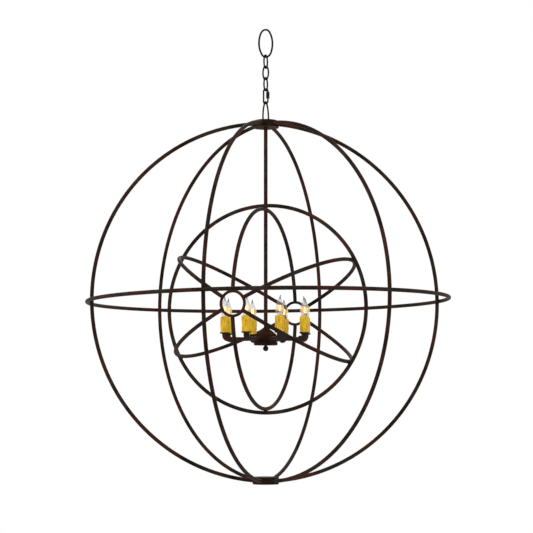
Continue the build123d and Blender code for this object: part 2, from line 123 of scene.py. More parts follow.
# %% [markdown]
# ## Materials
# A material is a small graph of nodes. One function adds a node, sets it and joins it to what feeds it,
# and another turns the hex colours that a designer would pick into the linear values that a renderer
# works in.

# %% Material helpers


def linear(code):
    """Linear colour of an sRGB hex code."""
    parts = [int(code[place:place + 2], 16) / 255 for place in (0, 2, 4)]
    return tuple(c / 12.92 if c <= 0.04045 else ((c + 0.055) / 1.055) ** 2.4 for c in parts) + (1.0,)


def add_node(tree, kind, inputs, stops=(), **settings):
    """Add a node, set it, give its inputs values or sockets, and a colour ramp its stops."""
    node = tree.nodes.new(kind)
    for name, value in settings.items():
        setattr(node, name, value)
    for name, value in inputs.items():
        if isinstance(value, bpy.types.NodeSocket):
            tree.links.new(value, node.inputs[name])
        else:
            node.inputs[name].default_value = value
    if stops:
        elements = node.color_ramp.elements
        while len(elements) < len(stops):
            elements.new(0.5)
        for element, (position, colour) in zip(elements, stops):
            element.position = position
            element.color = colour
    return node


def new_material(name):
    """Empty node material, and the tree to build in."""
    material = bpy.data.materials.new(name)
    material.use_nodes = True
    material.node_tree.nodes.clear()
    return material, material.node_tree


def grey(level):
    """Grey of a linear level."""
    return (level, level, level, 1.0)


def scale_for(size_mm):
    """Noise scale that gives patches of about this size, in object space."""
    return 1.0 / (size_mm * MM)


# %% [markdown]
# ## Room and light
# The object hangs in a white studio. What the camera, a reflection or a view through glass meets is plain
# white, while the light that the room itself gives is softer, so that pale surfaces don't burn out. One
# background can't be both, so two are mixed by the kind of ray that asks.

# %% White room
ROOM_LIGHT = 0.55


def seen_directly(tree):
    """1 for what the camera, a reflection or a view through glass meets, and 0 for light on a surface."""
    path = add_node(tree, "ShaderNodeLightPath", {})
    seen = add_node(tree, "ShaderNodeMath", {0: path.outputs["Is Camera Ray"],
                                             1: path.outputs["Is Glossy Ray"]}, operation="MAXIMUM")
    seen = add_node(tree, "ShaderNodeMath", {0: seen.outputs[0], 1: path.outputs["Is Transmission Ray"]},
                    operation="MAXIMUM")
    return seen.outputs[0]


world = bpy.data.worlds.new("white_studio")
world.use_nodes = True
world.node_tree.nodes.clear()
room = add_node(world.node_tree, "ShaderNodeBackground", {"Color": (1, 1, 1, 1), "Strength": ROOM_LIGHT})
white = add_node(world.node_tree, "ShaderNodeBackground", {"Color": (1, 1, 1, 1), "Strength": 1.0})
both = add_node(world.node_tree, "ShaderNodeMixShader", {0: seen_directly(world.node_tree),
                                                         1: room.outputs[0], 2: white.outputs[0]})
add_node(world.node_tree, "ShaderNodeOutputWorld", {"Surface": both.outputs[0]})
bpy.context.scene.world = world
bpy.context.scene.view_settings.view_transform = "Standard"
print("room light", ROOM_LIGHT)

# %% [markdown]
# ### Floor
# The floor is a pale painted disc two metres under the lowest bar. It takes the object's shadow in its
# middle and fades into the white towards its edge, so that no horizon shows.

# %% Pale floor
FLOOR_DROP = 2.1
FLOOR_RADIUS = 9.0
FLOOR_FADE_START = 2.5
FLOOR_FADE_END = 7.2
FLOOR_SIDES = 96

floor_material, tree = new_material("pale_floor_paint")
place = add_node(tree, "ShaderNodeTexCoord", {}).outputs["Object"]
distance = add_node(tree, "ShaderNodeVectorMath", {0: place}, operation="LENGTH").outputs["Value"]
fade = add_node(tree, "ShaderNodeMapRange", {"Value": distance, "From Min": FLOOR_FADE_START,
                                             "From Max": FLOOR_FADE_END}, interpolation_type="SMOOTHSTEP")
path = add_node(tree, "ShaderNodeLightPath", {})
hidden = add_node(tree, "ShaderNodeMath", {0: path.outputs["Is Glossy Ray"],
                                           1: path.outputs["Is Transmission Ray"]}, operation="MAXIMUM")
whiter = add_node(tree, "ShaderNodeMath", {0: fade.outputs["Result"], 1: hidden.outputs[0]},
                  operation="MAXIMUM")
paint = add_node(tree, "ShaderNodeBsdfDiffuse", {"Color": linear("f4f3f1")})
glow = add_node(tree, "ShaderNodeEmission", {"Color": (1, 1, 1, 1), "Strength": 1.0})
surface = add_node(tree, "ShaderNodeMixShader", {0: whiter.outputs[0], 1: paint.outputs[0],
                                                 2: glow.outputs[0]})
add_node(tree, "ShaderNodeOutputMaterial", {"Surface": surface.outputs[0]})

floor_z = cad_box[0].z - FLOOR_DROP
turns = [2 * pi * side / FLOOR_SIDES for side in range(FLOOR_SIDES)]
rim = [(FLOOR_RADIUS * cos(turn), FLOOR_RADIUS * sin(turn), 0) for turn in turns]
floor_mesh = bpy.data.meshes.new("floor")
floor_mesh.from_pydata(rim, [], [tuple(range(FLOOR_SIDES))])
floor_mesh.materials.append(floor_material)
floor = bpy.data.objects.new("floor", floor_mesh)
floor.location = (0, 0, floor_z)
bpy.context.collection.objects.link(floor)
print("floor at", round(floor_z, 3))

# %% [markdown]
# ### Lamps
# Three big soft lamps shape the bars: one to the left of the camera, a weaker one to its right, and one
# behind and above. Their azimuths are counted from the photograph's camera.

# %% Soft lamps


def soft_lamp(name, azimuth, distance, height, size, power):
    """Square soft lamp that faces the orb's middle."""
    data = bpy.data.lights.new(name, "AREA")
    data.size = size
    data.energy = power
    lamp = bpy.data.objects.new(name, data)
    bpy.context.collection.objects.link(lamp)
    turn = CAMERA_AZIMUTH + radians(azimuth)
    lamp.location = (distance * cos(turn), distance * sin(turn), orb_z + height)
    lamp.rotation_mode = "QUATERNION"
    lamp.rotation_quaternion = (Vector((0, 0, orb_z)) - lamp.location).to_track_quat("-Z", "Y")
    lamp.visible_camera = False


soft_lamp("soft_lamp_left", azimuth=-42, distance=4.2, height=2.2, size=2.6, power=85)
soft_lamp("soft_lamp_right", azimuth=50, distance=4.2, height=1.2, size=2.6, power=40)
soft_lamp("soft_lamp_behind", azimuth=175, distance=4.0, height=2.6, size=2.2, power=55)
print("soft lamps face the height", round(orb_z, 3))

# %% [markdown]
# ### Hand-rubbed bronze on mild steel
# The bars are mild steel with a dark brown powder coat that is wiped by hand with a reddish glaze while
# it is soft. So the coat is satin, almost black where it is thick, and shows red-brown and olive where it
# was wiped. Two noises at different sizes place the wiped patches, and a fine one gives the coat its
# slight orange peel. The gloss is kept low, and lowest on the hubs, because a flat face that is seen at a
# low angle would otherwise mirror the white room and look pale.

# %% Bronze coat
PEEL_MM = 2.2


def rubbed_bronze(name, thick, brown, red, olive, patch_mm, gloss=0.05):
    """Satin brown powder coat over steel, wiped with a glaze."""
    material, tree = new_material(name)
    place = add_node(tree, "ShaderNodeTexCoord", {}).outputs["Object"]
    patches = add_node(tree, "ShaderNodeTexNoise", {"Vector": place, "Scale": scale_for(patch_mm),
                                                    "Detail": 3.0, "Roughness": 0.55})
    shifted = add_node(tree, "ShaderNodeMapping", {"Vector": place, "Location": (3.1, 7.7, 1.3)})
    glaze = add_node(tree, "ShaderNodeTexNoise", {"Vector": shifted.outputs["Vector"],
                                                  "Scale": scale_for(patch_mm * 1.7), "Detail": 2.0})
    coat = add_node(tree, "ShaderNodeValToRGB", {"Fac": patches.outputs["Fac"]},
                    stops=[(0.30, linear(thick)), (0.48, linear(brown)), (0.62, linear(olive)),
                           (0.74, linear(brown))])
    wiped = add_node(tree, "ShaderNodeValToRGB", {"Fac": glaze.outputs["Fac"]},
                     stops=[(0.46, grey(0.0)), (0.64, grey(0.8))])
    colour = add_node(tree, "ShaderNodeMix", {0: wiped.outputs["Color"], 6: coat.outputs["Color"],
                                              7: linear(red)}, data_type="RGBA")
    peel = add_node(tree, "ShaderNodeTexNoise", {"Vector": place, "Scale": scale_for(PEEL_MM), "Detail": 2.0})
    bump = add_node(tree, "ShaderNodeBump", {"Height": peel.outputs["Fac"], "Strength": 0.15,
                                             "Distance": 0.2 * MM})
    rough = add_node(tree, "ShaderNodeMapRange", {"Value": patches.outputs["Fac"], "From Min": 0.3,
                                                  "From Max": 0.7, "To Min": 0.5, "To Max": 0.65})
    finish = add_node(tree, "ShaderNodeBsdfPrincipled", {
        "Base Color": colour.outputs[2], "Metallic": 0.0, "Roughness": rough.outputs["Result"],
        "IOR": 1.45, "Specular IOR Level": gloss, "Normal": bump.outputs["Normal"]})
    add_node(tree, "ShaderNodeOutputMaterial", {"Surface": finish.outputs["BSDF"]})
    return material


frame_coat = rubbed_bronze("rubbed_bronze_powder_coat", "110c08", "241a13", "422115", "2e2922", 55)
band_coat = rubbed_bronze("rubbed_bronze_powder_coat_band", "130e0a", "271d16", "462317", "322c25", 48)
chain_coat = rubbed_bronze("dark_bronze_chain_plating", "0d0907", "19120d", "2a1810", "221d18", 18)
hub_coat = rubbed_bronze("rubbed_bronze_powder_coat_hub", "130b07", "2a1a12", "3e1f13", "2a221b", 40,
                         gloss=0.02)
print("coats", [coat.name for coat in (frame_coat, band_coat, chain_coat, hub_coat)])

# %% [markdown]
# ### Candle covers' resin
# The covers are cast amber resin, made to look like dripping beeswax: a warm honey yellow with darker
# brown where the drips are thick, a satin skin and a little light that passes through it. The honey
# colour runs down the cover in a stretched noise, and an attribute of the mesh says where the wax is
# thick.

# %% Beeswax resin
WAX_RUN_MM = 9
WAX_GRAIN_MM = 3


def beeswax_resin():
    """Honey-yellow cast resin with darker drips and a little light that passes through."""
    material, tree = new_material("amber_beeswax_resin")
    place = add_node(tree, "ShaderNodeTexCoord", {}).outputs["Object"]
    stretched = add_node(tree, "ShaderNodeMapping", {"Vector": place, "Scale": (1.0, 1.0, 0.4)})
    runs = add_node(tree, "ShaderNodeTexNoise", {"Vector": stretched.outputs["Vector"],
                                                 "Scale": scale_for(WAX_RUN_MM), "Detail": 3.0,
                                                 "Roughness": 0.6})
    honey = add_node(tree, "ShaderNodeValToRGB", {"Fac": runs.outputs["Fac"]},
                     stops=[(0.28, linear("f0cf0e")), (0.48, linear("eabe05")), (0.62, linear("d69c06")),
                            (0.76, linear("a96a08"))])
    thick = add_node(tree, "ShaderNodeAttribute", {}, attribute_name="wax").outputs["Fac"]
    brown = add_node(tree, "ShaderNodeValToRGB", {"Fac": thick}, stops=[(0.45, grey(0.0)), (0.95, grey(0.6))])
    colour = add_node(tree, "ShaderNodeMix", {0: brown.outputs["Color"], 6: honey.outputs["Color"],
                                              7: linear("b87406")}, data_type="RGBA")
    grain = add_node(tree, "ShaderNodeTexNoise", {"Vector": place, "Scale": scale_for(WAX_GRAIN_MM),
                                                  "Detail": 2.0})
    bump = add_node(tree, "ShaderNodeBump", {"Height": grain.outputs["Fac"], "Strength": 0.35,
                                             "Distance": 0.4 * MM})
    finish = add_node(tree, "ShaderNodeBsdfPrincipled", {
        "Base Color": colour.outputs[2], "Roughness": 0.42, "IOR": 1.45, "Subsurface Weight": 0.25,
        "Subsurface Radius": (1.0, 0.6, 0.15), "Subsurface Scale": 4.0 * MM,
        "Normal": bump.outputs["Normal"]})
    add_node(tree, "ShaderNodeOutputMaterial", {"Surface": finish.outputs["BSDF"]})
    return material


wax = beeswax_resin()
print("finish", wax.name)

# %% [markdown]
# ### Bulb glass
# The bulbs are clear soda-lime glass. Thin glass hardly bends light, so it is drawn as a mix of clear and
# a grey gloss, which is greyer where the wall is seen edge on or drawn out to the tip. Near the filament the
# glass has a painted glow: a warm tint, a little light of its own and more cover, which stand in for the
# filament's light spreading in the bulb. The filament's height is counted from the top of the covers in the
# CAD model.

# %% Clear glass
BELLY_ABOVE_COVER = 24.0 * MM
# Reach, brightness and cover of the painted glow that the glass shows round the filament's height.
PAINTED_GLOW_FULL_WITHIN = 4 * MM
PAINTED_GLOW_GONE_AT = 17 * MM
PAINTED_GLOW_STRENGTH = 0.3
PAINTED_GLOW_COVER = 0.5
DRAWN_OUT_FROM = 20 * MM
DRAWN_OUT_BY = 40 * MM


def clear_glass():
    """Thin clear glass: see-through, greyer where the wall is seen edge on, with a painted glow near the
    filament.
    """
    material, tree = new_material("clear_soda_lime_glass_painted_glow")
    place = add_node(tree, "ShaderNodeTexCoord", {}).outputs["Object"]
    height = add_node(tree, "ShaderNodeSeparateXYZ", {0: place}).outputs["Z"]
    above = add_node(tree, "ShaderNodeMath", {0: height, 1: filament_z}, operation="SUBTRACT")
    away = add_node(tree, "ShaderNodeMath", {0: above.outputs[0]}, operation="ABSOLUTE")
    # Painted glow: 1 within a few millimetres of the filament's height, falling to 0 further away.
    painted_glow = add_node(tree, "ShaderNodeMapRange", {"Value": away.outputs[0], "From Min": PAINTED_GLOW_FULL_WITHIN,
                                                   "From Max": PAINTED_GLOW_GONE_AT, "To Min": 1.0,
                                                   "To Max": 0.0},
                      interpolation_type="SMOOTHSTEP").outputs["Result"]
    drawn_out = add_node(tree, "ShaderNodeMapRange", {"Value": above.outputs[0], "From Min": DRAWN_OUT_FROM,
                                                      "From Max": DRAWN_OUT_BY, "To Min": 0.0,
                                                      "To Max": 0.95},
                         interpolation_type="SMOOTHSTEP").outputs["Result"]
    # Painted glow: the wall is tinted warm near the filament.
    wall = add_node(tree, "ShaderNodeMix", {0: painted_glow, 6: linear("999a94"), 7: linear("dcb67c")},
                    data_type="RGBA")
    colour = add_node(tree, "ShaderNodeMix", {0: drawn_out, 6: wall.outputs[2], 7: linear("565a58")},
                      data_type="RGBA")
    # Painted glow: the glass gives off a little warm light near the filament, though it is no lamp.
    strength = add_node(tree, "ShaderNodeMath", {0: painted_glow, 1: PAINTED_GLOW_STRENGTH}, operation="MULTIPLY")
    skin = add_node(tree, "ShaderNodeBsdfPrincipled", {
        "Base Color": colour.outputs[2], "Roughness": 0.06, "IOR": 1.5, "Emission Color": linear("ffd694"),
        "Emission Strength": strength.outputs[0]})
    edge = add_node(tree, "ShaderNodeLayerWeight", {"Blend": 0.5}).outputs["Facing"]
    seen = add_node(tree, "ShaderNodeValToRGB", {"Fac": edge},
                    stops=[(0.15, grey(0.2)), (0.65, grey(0.45)), (1.0, grey(0.85))])
    # Painted glow: near the filament the glass covers more of what is behind it.
    glow = add_node(tree, "ShaderNodeMath", {0: painted_glow, 1: PAINTED_GLOW_COVER}, operation="MULTIPLY")
    belly = add_node(tree, "ShaderNodeMath", {0: seen.outputs["Color"], 1: glow.outputs[0]},
                     operation="MAXIMUM")
    cover = add_node(tree, "ShaderNodeMath", {0: belly.outputs[0], 1: drawn_out}, operation="MAXIMUM")
    clear = add_node(tree, "ShaderNodeBsdfTransparent", {"Color": (1, 1, 1, 1)})
    finish = add_node(tree, "ShaderNodeMixShader", {0: cover.outputs[0], 1: clear.outputs[0],
                                                    2: skin.outputs[0]})
    add_node(tree, "ShaderNodeOutputMaterial", {"Surface": finish.outputs[0]})
    return material


filament_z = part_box("candle_covers")[1].z + BELLY_ABOVE_COVER
glass = clear_glass()
print("filaments at", round(filament_z, 4))

# %% [markdown]
# ### Filament and small parts
# Hot tungsten is seen only as its own yellow-white light. The small parts each have an even finish with a
# faint speckle: thinly plated brass on the bulbs' bases is pale yellow and bright, black phenolic on the
# lamp holders is dull, zinc plate on nuts, nipples and lead wires is a soft silver, and the pressed glass
# of the stem is a cloudy off-white.

# %% Tungsten, brass, phenolic and zinc


def glowing_tungsten():
    """Tungsten wire at working heat."""
    material, tree = new_material("glowing_tungsten")
    finish = add_node(tree, "ShaderNodeBsdfPrincipled", {
        "Base Color": linear("ffd9a0"), "Roughness": 0.5, "Emission Color": linear("ffe2a6"),
        "Emission Strength": 3.0})
    add_node(tree, "ShaderNodeOutputMaterial", {"Surface": finish.outputs["BSDF"]})
    return material


def plain(name, code, roughness, metallic, speck_mm):
    """Even finish with a faint speckle, for small parts."""
    material, tree = new_material(name)
    place = add_node(tree, "ShaderNodeTexCoord", {}).outputs["Object"]
    speckle = add_node(tree, "ShaderNodeTexNoise", {"Vector": place, "Scale": scale_for(speck_mm),
                                                    "Detail": 2.0})
    tint = linear(code)
    darker = tuple(0.75 * c for c in tint[:3]) + (1.0,)
    colour = add_node(tree, "ShaderNodeValToRGB", {"Fac": speckle.outputs["Fac"]},
                      stops=[(0.35, darker), (0.65, tint)])
    bump = add_node(tree, "ShaderNodeBump", {"Height": speckle.outputs["Fac"], "Strength": 0.1,
                                             "Distance": 0.1 * MM})
    finish = add_node(tree, "ShaderNodeBsdfPrincipled", {
        "Base Color": colour.outputs["Color"], "Roughness": roughness, "Metallic": metallic,
        "Normal": bump.outputs["Normal"]})
    add_node(tree, "ShaderNodeOutputMaterial", {"Surface": finish.outputs["BSDF"]})
    return material


tungsten = glowing_tungsten()
brass = plain("plated_brass_bulb_base", "c9b27a", 0.3, 1.0, 4)
phenolic = plain("black_phenolic_moulding", "1d1c1b", 0.45, 0.0, 3)
zinc = plain("zinc_plated_steel", "b9b6ad", 0.35, 1.0, 5)
stem_glass = plain("pressed_glass_stem", "d9d6c8", 0.2, 0.0, 2)
print("small finishes", [finish.name for finish in (tungsten, brass, phenolic, zinc, stem_glass)])

# %% [markdown]
# ### Finish the pieces that stay as the CAD model made them
# These have their true shape already, so each only gets the finish that the real one has.

# %% Finish the CAD nodes that stay


def finish_nodes(material, *names):
    """Give CAD nodes a finish in place of their plain one."""
    for name in names:
        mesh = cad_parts[name].data
        mesh.materials.clear()
        mesh.materials.append(material)


LAMPS = range(1, 9)
finish_nodes(hub_coat, "top_hub", "bottom_collar", "hub_cone", "lamp_hub", "hub_plate")
finish_nodes(frame_coat, "down_rod", "drip_dishes", *[f"arm_{number}" for number in LAMPS])
finish_nodes(chain_coat, "quick_link_nut")
finish_nodes(phenolic, "lamp_holders")
finish_nodes(zinc, "lamp_nipples", "lock_nuts")
print("CAD nodes finished, arms", len(LAMPS), "and the hubs, rod, dishes, nuts, holders and nipples")

# %% [markdown]
# ## Bent bar
# Every hoop, link and loop is a round bar bent in one plane. So one function walks along arcs and
# straight runs in a plane and sets a ring of points round each step, and the plane is turned to where the
# piece lies. The steps are chosen so that no chord leaves its arc by more than a fiftieth of a
# millimetre.

# %% Walk along a bend and skin it
SAG = 0.02 * MM
BAR_SIDES = 24
UP = Vector((0, 0, 1))


def direction(azimuth):
    """Level unit vector at an azimuth in degrees from +X."""
    return Vector((cos(radians(azimuth)), sin(radians(azimuth)), 0))


def arc(centre, radius, start, sweep):
    """Points of an arc in the plane, each with the direction to its right. Angles in degrees."""
    steps = max(3, ceil(abs(radians(sweep)) / (2 * sqrt(2 * SAG / radius))))
    turns = [radians(start + sweep * step / steps) for step in range(steps + 1)]
    side = 1 if sweep > 0 else -1
    return [(centre[0] + radius * cos(t), centre[1] + radius * sin(t), side * cos(t), side * sin(t))
            for t in turns]


def run(start, end):
    """The two ends of a straight run, each with the direction to its right."""
    along = (Vector(end) - Vector(start)).normalized()
    return [(*start, along.y, -along.x), (*end, along.y, -along.x)]


def new_mesh(name, points, faces, sharp_degrees=40):
    """Object from points and faces, smooth but for edges that turn more than the given angle."""
    mesh = bpy.data.meshes.new(name)
    mesh.from_pydata([tuple(point) for point in points], [], faces)
    mesh.polygons.foreach_set("use_smooth", [True] * len(faces))
    mesh.set_sharp_from_angle(angle=radians(sharp_degrees))
    piece = bpy.data.objects.new(name, mesh)
    bpy.context.collection.objects.link(piece)
    return piece


def bent_bar(name, origin, across, up, stretches, diameter, closed=False):
    """Round bar bent along stretches of a path in the plane of across and up."""
    normal = across.cross(up)
    path = [point for number, stretch in enumerate(stretches) for point in stretch[1 if number else 0:]]
    if closed:
        path = path[:-1]
    points = []
    for x, y, right_x, right_y in path:
        centre = origin + across * x + up * y
        right = across * right_x + up * right_y
        for number in range(BAR_SIDES):
            turn = 2 * pi * number / BAR_SIDES
            points.append(centre + diameter / 2 * (right * cos(turn) + normal * sin(turn)))
    count = len(path)
    faces = []
    for step in range(count if closed else count - 1):
        here, there = step * BAR_SIDES, (step + 1) % count * BAR_SIDES
        for number in range(BAR_SIDES):
            after = (number + 1) % BAR_SIDES
            faces.append((here + number, there + number, there + after, here + after))
    if not closed:
        faces.append(tuple(range(BAR_SIDES)))
        faces.append(tuple(reversed(range((count - 1) * BAR_SIDES, count * BAR_SIDES))))
    return new_mesh(name, points, faces)


def settle(piece, body, material, slot, *nodes):
    """Give a piece its finish and the body it rides on, and hide the CAD nodes that it stands for."""
    piece.data.materials.append(material)
    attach(piece, body)
    if nodes:
        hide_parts(*nodes)


# %% [markdown]
# ## Outer orb
# Six ribs rise from the collar to the hub. Each is part of a circle struck from a point just past the
# rod, which makes the orb a little taller than it is wide. The equator ring lies round them, a touch out
# of level, as hand-assembled pieces are.

# %% Outer orb
ORB_RADIUS = 609.6 * MM
RIB_ANGLES = (29.5, 88.6, 149.4, 210.5, 269.7, 328.0)
RIB_CENTRE_PAST = 10.0 * MM
RIB_END_RADIUS = 35.5 * MM
CAGE_SHIFT = 8.0 * MM
CAGE_SHIFT_TOWARD = 18.2
EQUATOR_LEAN = radians(0.75)
EQUATOR_LEAN_TOWARD = -10.0

equator_radius = ORB_RADIUS - BAR / 2
rib_radius = equator_radius - BAR - WELD_GAP + RIB_CENTRE_PAST
shift = direction(CAGE_SHIFT_TOWARD) * CAGE_SHIFT
rib_reach = {}
for number, angle in enumerate(RIB_ANGLES, 1):
    out = direction(angle)
    past = RIB_CENTRE_PAST - shift.dot(out)
    rib_reach[number] = rib_radius - past
    rib_end = 90 - degrees(asin((RIB_END_RADIUS + past) / rib_radius))
    bar = bent_bar(f"rib_{number}_bar", UP * orb_z - out * past, out, UP,
                   [arc((0, 0), rib_radius, -rib_end, 2 * rib_end)], BAR)
    settle(bar, "orb", frame_coat, "frame_iron", f"outer_rib_{number}")

toward = direction(EQUATOR_LEAN_TOWARD)
lean_across = toward * cos(EQUATOR_LEAN) + UP * sin(EQUATOR_LEAN)
lean_along = UP.cross(toward)
equator = bent_bar("equator_bar", UP * orb_z + shift, lean_across, lean_along,
                   [arc((0, 0), equator_radius, 0, 360)], BAR, closed=True)
settle(equator, "orb", band_coat, "band_iron", "equator_ring")
print("ribs reach", [round(reach / MM, 1) for reach in rib_reach.values()], "mm, equator", ORB_RADIUS / MM)

# %% [markdown]
# ## Inner orb
# The inner orb is the same idea laid on its side. Its poles are two small rings, in front and behind, and
# its band stands upright. The top rib and the band stop at the rod, which passes through their crossing.

# %% Inner orb
BAND_RADIUS = 347.2 * MM
SIDE_RIBS = (28.0, 147.8, 208.0, 327.8)
POLE_RING_OUTER = 44.0 * MM
ROD = 12.7 * MM
ROD_BITE = 0.5 * MM

inner_rib_radius = BAND_RADIUS - BAR - WELD_GAP
inner_end = 90 - degrees(asin((POLE_RING_OUTER + WELD_GAP) / inner_rib_radius))
inner_centre = UP * inner_z
TO_THE_BACK = Vector((0, 1, 0))
TO_THE_RIGHT = Vector((1, 0, 0))


def band_direction(angle):
    """Unit vector in the plane of the band, turned from +X toward +Z."""
    return Vector((cos(radians(angle)), 0, sin(radians(angle))))


whole_ribs = {f"inner_rib_side_{number}": angle for number, angle in enumerate(SIDE_RIBS, 1)}
whole_ribs["inner_rib_bottom"] = 270
for node, angle in whole_ribs.items():
    bar = bent_bar(f"{node}_bar", inner_centre, band_direction(angle), TO_THE_BACK,
                   [arc((0, 0), inner_rib_radius, -inner_end, 2 * inner_end)], BAR)
    settle(bar, "orb", frame_coat, "frame_iron", node)

rib_stop = degrees(asin((ROD / 2 - ROD_BITE) / inner_rib_radius))
for side, name in ((-1, "front"), (1, "rear")):
    bar = bent_bar(f"inner_rib_top_bar_{name}", inner_centre, UP, TO_THE_BACK,
                   [arc((0, 0), inner_rib_radius, side * rib_stop, side * (inner_end - rib_stop))], BAR)
    settle(bar, "orb", frame_coat, "frame_iron", "inner_rib_top")
band_stop = degrees(asin((ROD / 2 - ROD_BITE) / BAND_RADIUS))
band = bent_bar("inner_band_bar", inner_centre, TO_THE_RIGHT, UP,
                [arc((0, 0), BAND_RADIUS, 90 + band_stop, 360 - 2 * band_stop)], BAR)
settle(band, "orb", band_coat, "band_iron", "inner_band")

pole_ring_radius = POLE_RING_OUTER - POLE_BAR / 2
pole_centres = {}
for name in ("front", "rear"):
    low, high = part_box(f"pole_ring_{name}")
    pole_centres[name] = (low + high) / 2
    ring = bent_bar(f"pole_ring_{name}_bar", pole_centres[name], TO_THE_RIGHT, UP,
                    [arc((0, 0), pole_ring_radius, 0, 360)], POLE_BAR, closed=True)
    settle(ring, "orb", frame_coat, "frame_iron", f"pole_ring_{name}")
print("inner orb", round(2 * (BAND_RADIUS + BAR / 2) / MM, 1), "mm, poles at",
      round(pole_centres["rear"].y / MM, 1))

# %% [markdown]
# ## Hanging gear
# The oval ring and the links are four arcs that run into each other, the shape that wire takes when it is
# bent and pulled. The quick link has straight sides and is cut open where its nut sits. The bail is half
# an oval on straight legs.

# %% Ovals, links and bail
CHAIN_TURN = -14.0
OVAL_HALF = (26.825 * MM, 47.225 * MM)
OVAL_END = 20.0 * MM
OVAL_LEAN = radians(4.8)
LINK_HALF = (10.9 * MM, 22.4 * MM)
LINK_END = 8.5 * MM
QUICK_HALF = (8.5 * MM, 25.25 * MM)
QUICK_GAP = 6.5 * MM
QUICK_GAP_BELOW_BEND = 3.2 * MM
BAIL_HALF_WIDTH = 17.25 * MM
BAIL_HEIGHT = 64.5 * MM
BAIL_CROWN = 7.5 * MM
BAIL_LEG = 12.0 * MM
BAIL_SEAT = 7.9 * MM


def oval_sides(half_width, half_height, end_radius):
    """Reach of the end arcs' centres, the side arcs' radius and how far they turn, in degrees."""
    reach = half_height - end_radius
    radius = (half_width**2 + reach**2 - end_radius**2) / (2 * (half_width - end_radius))
    return reach, radius, degrees(atan2(reach, radius - half_width))


def oval_path(half_width, half_height, end_radius):
    """An oval of four arcs, once round against the clock from the middle of its right side."""
    reach, radius, turn = oval_sides(half_width, half_height, end_radius)
    return [arc((half_width - radius, 0), radius, 0, turn), arc((0, reach), end_radius, turn, 180 - 2 * turn),
            arc((radius - half_width, 0), radius, 180 - turn, 2 * turn),
            arc((0, -reach), end_radius, 180 + turn, 180 - 2 * turn),
            arc((half_width - radius, 0), radius, -turn, turn)]


def quick_link_path(half_width, half_height, start, end):
    """Round a straight-sided link against the clock, from a height on its right side to another."""
    straight = half_height - half_width
    return [run((half_width, start), (half_width, straight)), arc((0, straight), half_width, 0, 180),
            run((-half_width, straight), (-half_width, -straight)),
            arc((0, -straight), half_width, 180, 180), run((half_width, -straight), (half_width, end))]


in_ring_plane = direction(CHAIN_TURN)
in_bail_plane = direction(CHAIN_TURN + 90)
ring_across = in_ring_plane * cos(OVAL_LEAN) + UP * sin(OVAL_LEAN)
ring_up = UP * cos(OVAL_LEAN) - in_ring_plane * sin(OVAL_LEAN)
piece = bent_bar("oval_ring_wire", UP * middle_z("oval_ring"), ring_across, ring_up,
                 oval_path(*OVAL_HALF, OVAL_END), RING_WIRE, closed=True)
settle(piece, "ring", chain_coat, "chain_iron", "oval_ring")

for number in (1, 2, 3):
    across = in_bail_plane if number % 2 else in_ring_plane
    piece = bent_bar(f"chain_link_{number}_wire", UP * middle_z(f"chain_link_{number}"), across, UP,
                     oval_path(*LINK_HALF, LINK_END), WIRE, closed=True)
    settle(piece, f"link_{number}", chain_coat, "chain_iron", f"chain_link_{number}")

gap_top = QUICK_HALF[1] - QUICK_HALF[0] - QUICK_GAP_BELOW_BEND
piece = bent_bar("quick_link_wire", UP * middle_z("quick_link"), in_ring_plane, UP,
                 quick_link_path(*QUICK_HALF, gap_top, gap_top - QUICK_GAP), WIRE)
settle(piece, "quick_link", chain_coat, "chain_iron", "quick_link")

reach, side, turn = oval_sides(BAIL_HALF_WIDTH, BAIL_HEIGHT - BAIL_LEG, BAIL_CROWN)
foot = -BAIL_LEG - BAIL_SEAT
bail = [run((BAIL_HALF_WIDTH, foot), (BAIL_HALF_WIDTH, 0)),
        arc((BAIL_HALF_WIDTH - side, 0), side, 0, turn), arc((0, reach), BAIL_CROWN, turn, 180 - 2 * turn),
        arc((side - BAIL_HALF_WIDTH, 0), side, 180 - turn, turn),
        run((-BAIL_HALF_WIDTH, 0), (-BAIL_HALF_WIDTH, foot))]
piece = bent_bar("hub_bail_wire", UP * (hub_top_z + BAIL_LEG), in_bail_plane, UP, bail, WIRE)
settle(piece, "orb", chain_coat, "chain_iron", "hub_bail")
print("bail crown at", round(hub_top_z + BAIL_HEIGHT, 4))

# %% [markdown]
# ## Turned pieces
# Weld beads, the elbows' lips, the finial, candle covers, glass and bulb bases are all profiles turned
# about an axis. One function does that. Where a piece isn't quite round, a shape function moves each of
# its points.

# %% Turn a profile about an axis


def turned(name, place, profile, sides, axis=UP, shape=None, closed=False, sharp_degrees=40):
    """Skin of a profile of radius and height, turned about an axis through place."""
    spin = UP.rotation_difference(axis)
    points, rows = [], []
    for radius, height in profile:
        count = sides if radius > 0 else 1
        rows.append(list(range(len(points), len(points) + count)))
        for number in range(count):
            turn = 2 * pi * number / sides
            even = Vector((radius * cos(turn), radius * sin(turn), height))
            points.append(place + spin @ (shape(turn, radius, height) if shape else even))
    faces = []
    for lower, upper in zip(rows, rows[1:] + rows[:1] if closed else rows[1:]):
        for number in range(sides):
            after = (number + 1) % sides
            if len(lower) == 1 and len(upper) > 1:
                faces.append((lower[0], upper[after], upper[number]))
            elif len(upper) == 1 and len(lower) > 1:
                faces.append((lower[number], lower[after], upper[0]))
            elif len(lower) > 1:
                faces.append((lower[number], lower[after], upper[after], upper[number]))
    return new_mesh(name, points, faces, sharp_degrees)


def round_section(radius, centre_radius=0.0, steps=16):
    """Circle of a ring's section, or with no centre radius the half circle of a ball."""
    if not centre_radius:
        turns = [pi * (step / steps - 0.5) for step in range(steps + 1)]
        ends = {0, steps}
        return [(0.0 if step in ends else radius * cos(t), radius * sin(t)) for step, t in enumerate(turns)]
    turns = [2 * pi * step / steps for step in range(steps)]
    return [(centre_radius + radius * cos(t), radius * sin(t)) for t in turns]


